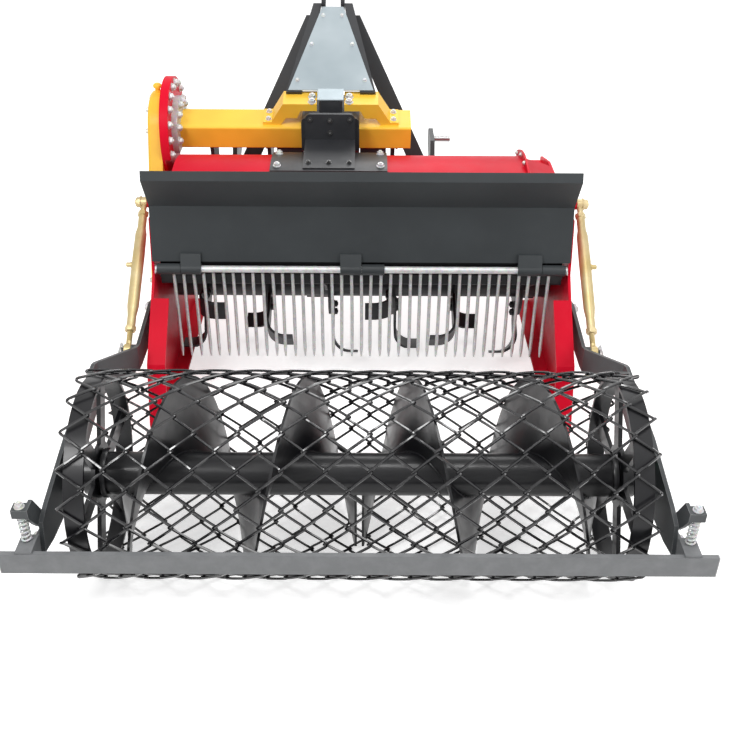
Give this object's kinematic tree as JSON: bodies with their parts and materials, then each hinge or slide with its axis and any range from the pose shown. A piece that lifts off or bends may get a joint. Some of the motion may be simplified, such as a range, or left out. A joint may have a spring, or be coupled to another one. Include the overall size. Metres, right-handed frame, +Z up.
{
  "type": "stone burier",
  "caption": "Tractor mounted stone burier with bladed rotor under a hood, hanging tine comb, deflector plate and wire mesh roller with scraper bar.",
  "frame": {"origin": "centre of the machine's footprint on the ground", "axes": "+X to the right seen from behind, +Y forward to the tractor, +Z up"},
  "size_m": [1.552, 1.837, 1.04],
  "materials": {
    "red_paint": "gloss red paint",
    "yellow_paint": "gloss yellow paint",
    "grey_paint": "satin dark grey paint",
    "scraper_grey": "satin grey paint",
    "black_paint": "gloss black paint",
    "zinc": "galvanised steel",
    "gold_zinc": "yellow passivated zinc",
    "silver_sheet": "bright sheet",
    "steel": "bare steel"
  },
  "bodies": {
    "frame": {"hood": "red_paint", "side_plate_left": "red_paint", "side_plate_right": "red_paint", "deflector": "grey_paint", "comb_shaft": "zinc", "comb_hangers": "grey_paint", "rotor_bearing": "black_paint", "gear_case": "yellow_paint", "gear_case_plate": "red_paint", "drive_flange": "grey_paint", "drive_beam": "yellow_paint", "beam_stub": "yellow_paint", "beam_saddles": "black_paint", "gearbox_saddle": "black_paint", "beam_bracket_left": "yellow_paint", "beam_bracket_right": "yellow_paint", "gearbox": "grey_paint", "gearbox_cover": "grey_paint", "mast_stay_left": "black_paint", "mast_stay_right": "black_paint", "mast_cover": "silver_sheet", "top_clevis": "black_paint", "hitch_beam": "red_paint", "hitch_ear_left": "black_paint", "hitch_ear_right": "black_paint", "hitch_pin_left": "steel", "hitch_pin_right": "steel", "mast_leg_left": "black_paint", "mast_leg_right": "black_paint"},
    "rotor": {"rotor_shaft": "black_paint", "rotor_blades": "black_paint"},
    "pto": {"pto_shaft": "steel"},
    "comb": {"comb": "zinc"},
    "roller_frame": {"arm_left": "grey_paint", "arm_right": "grey_paint", "roller_bearing_left": "black_paint", "roller_bearing_right": "black_paint", "scraper_bar": "scraper_grey", "spring_bracket_left": "scraper_grey", "spring_bracket_right": "scraper_grey", "scraper_spring_left": "zinc", "scraper_spring_right": "zinc"},
    "roller": {"roller_tube": "black_paint", "roller_wheel_left": "black_paint", "roller_wheel_right": "black_paint", "roller_flights": "black_paint", "roller_mesh": "black_paint"},
    "rod_tube_left": {"rod_tube_left": "gold_zinc"},
    "rod_tube_right": {"rod_tube_right": "gold_zinc"},
    "rod_screw_left": {"rod_screw_left": "gold_zinc"},
    "rod_screw_right": {"rod_screw_right": "gold_zinc"}
  },
  "joints": [
    {"name": "rotor_spin", "type": "hinge", "parent": "frame", "child": "rotor", "pos_m": [0, 0.3435, 0.25], "axis": [1, 0, 0], "continuous": true},
    {"name": "pto_spin", "type": "hinge", "parent": "frame", "child": "pto", "pos_m": [-0.0975, 0.7035, 0.683], "axis": [0, 1, 0], "continuous": true},
    {"name": "comb_swing", "type": "hinge", "parent": "frame", "child": "comb", "pos_m": [0, 0.0875, 0.427], "axis": [-1, 0, 0], "range_deg": [0, 25]},
    {"name": "roller_arms", "type": "hinge", "parent": "frame", "child": "roller_frame", "pos_m": [0, 0.1735, 0.25], "axis": [-1, 0, 0], "range_deg": [-10, 7]},
    {"name": "roller_spin", "type": "hinge", "parent": "roller_frame", "child": "roller", "pos_m": [0, -0.6265, 0.25], "axis": [1, 0, 0], "continuous": true},
    {"name": "rod_tilt_left", "type": "hinge", "parent": "frame", "child": "rod_tube_left", "pos_m": [-0.657, 0.3035, 0.54], "axis": [-1, 0, 0], "range_deg": [-4.7, 3.3]},
    {"name": "rod_slide_left", "type": "slide", "parent": "rod_tube_left", "child": "rod_screw_left", "axis": [0, 0.8352, 0.55], "range_m": [-0.03, 0.021]},
    {"name": "rod_tilt_right", "type": "hinge", "parent": "frame", "child": "rod_tube_right", "pos_m": [0.657, 0.3035, 0.54], "axis": [-1, 0, 0], "range_deg": [-4.7, 3.3]},
    {"name": "rod_slide_right", "type": "slide", "parent": "rod_tube_right", "child": "rod_screw_right", "axis": [0, 0.8352, 0.55], "range_m": [-0.03, 0.021]}
  ],
  "couplings": [
    {"joint": "pto_spin", "follows": "rotor_spin", "ratio": 2.4},
    {"joint": "rod_tilt_left", "follows": "roller_arms", "ratio": 0.455},
    {"joint": "rod_slide_left", "follows": "roller_arms", "m_per_rad": 0.168},
    {"joint": "rod_tilt_right", "follows": "roller_arms", "ratio": 0.455},
    {"joint": "rod_slide_right", "follows": "roller_arms", "m_per_rad": 0.168}
  ]
}
